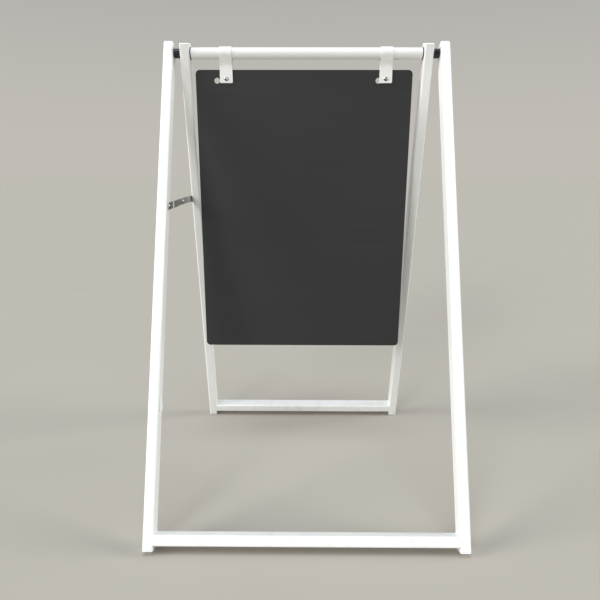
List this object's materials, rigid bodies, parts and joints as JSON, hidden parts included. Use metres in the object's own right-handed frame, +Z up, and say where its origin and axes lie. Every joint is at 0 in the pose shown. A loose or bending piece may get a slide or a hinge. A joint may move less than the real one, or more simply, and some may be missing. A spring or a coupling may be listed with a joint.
{
  "type": "sandwich board",
  "caption": "Folding A-frame pavement sign: two hinged tube frames, a top bar with a swinging flat panel, and a folding side stay.",
  "frame": {"origin": "on the ground, midway between the front and rear feet, on the middle of the frame's width", "axes": "+X across the board to the right seen from the front, -Y to the front, +Z up"},
  "size_m": [0.6, 0.5985, 0.9451],
  "materials": {
    "white_paint": "smooth white powder coat on steel",
    "white_plastic": "moulded white plastic, slightly glossy",
    "black_plastic": "moulded black nylon, semi-matt",
    "zinc_steel": "dull zinc plating",
    "dark_steel": "dark oxide, lightly worn",
    "black_board": "matt black sheet"
  },
  "bodies": {
    "front_frame": {"front_left_leg": "white_paint", "front_right_leg": "white_paint", "front_bottom_rail": "white_paint", "front_left_foot_cap": "white_plastic", "front_right_foot_cap": "white_plastic", "front_left_top_cap": "white_plastic", "front_right_top_cap": "white_plastic", "stay_front_rivet": "dark_steel", "fold_catch": "white_plastic", "top_bar": "white_paint", "bar_insert_left": "black_plastic", "bar_insert_right": "black_plastic", "bar_washer_left": "black_plastic", "bar_washer_right": "black_plastic", "hinge_spacer_left": "black_plastic", "hinge_spacer_right": "black_plastic", "hinge_bolt_left": "zinc_steel", "hinge_bolt_right": "zinc_steel"},
    "rear_frame": {"rear_left_leg": "white_paint", "rear_right_leg": "white_paint", "rear_bottom_rail": "white_paint", "rear_left_foot_cap": "white_plastic", "rear_right_foot_cap": "white_plastic", "rear_left_top_cap": "white_plastic", "rear_right_top_cap": "white_plastic", "stay_rear_rivet": "dark_steel"},
    "sign": {"sign_panel": "black_board", "hanger_strap_left": "white_paint", "hanger_strap_right": "white_paint", "hanger_screw_left": "dark_steel", "hanger_screw_right": "dark_steel", "hanger_nut_left": "zinc_steel", "hanger_nut_right": "zinc_steel"},
    "front_link": {"stay_front_link": "zinc_steel", "stay_knee_rivet_back": "dark_steel"},
    "rear_link": {"stay_rear_link": "zinc_steel", "stay_knee_rivet_head": "dark_steel"}
  },
  "joints": [
    {"name": "frame_fold", "type": "hinge", "parent": "front_frame", "child": "rear_frame", "pos_m": [0, 0.10292, 0.9213], "axis": [-1, 0, 0], "range_deg": [0, 34.2]},
    {"name": "sign_swing", "type": "hinge", "parent": "front_frame", "child": "sign", "pos_m": [0, 0.10292, 0.9213], "axis": [1, 0, 0], "range_deg": [-85, 85]},
    {"name": "front_link_fold", "type": "hinge", "parent": "front_frame", "child": "front_link", "pos_m": [-0.2735, -0.02818, 0.61247], "axis": [1, 0, 0], "range_deg": [0, 65.76]},
    {"name": "rear_link_fold", "type": "hinge", "parent": "rear_frame", "child": "rear_link", "pos_m": [-0.2735, 0.16324, 0.61662], "axis": [-1, 0, 0], "range_deg": [0, 80.04]}
  ],
  "couplings": [
    {"joint": "front_link_fold", "follows": "frame_fold", "ratio": 1.9228},
    {"joint": "rear_link_fold", "follows": "frame_fold", "ratio": 2.3403}
  ]
}
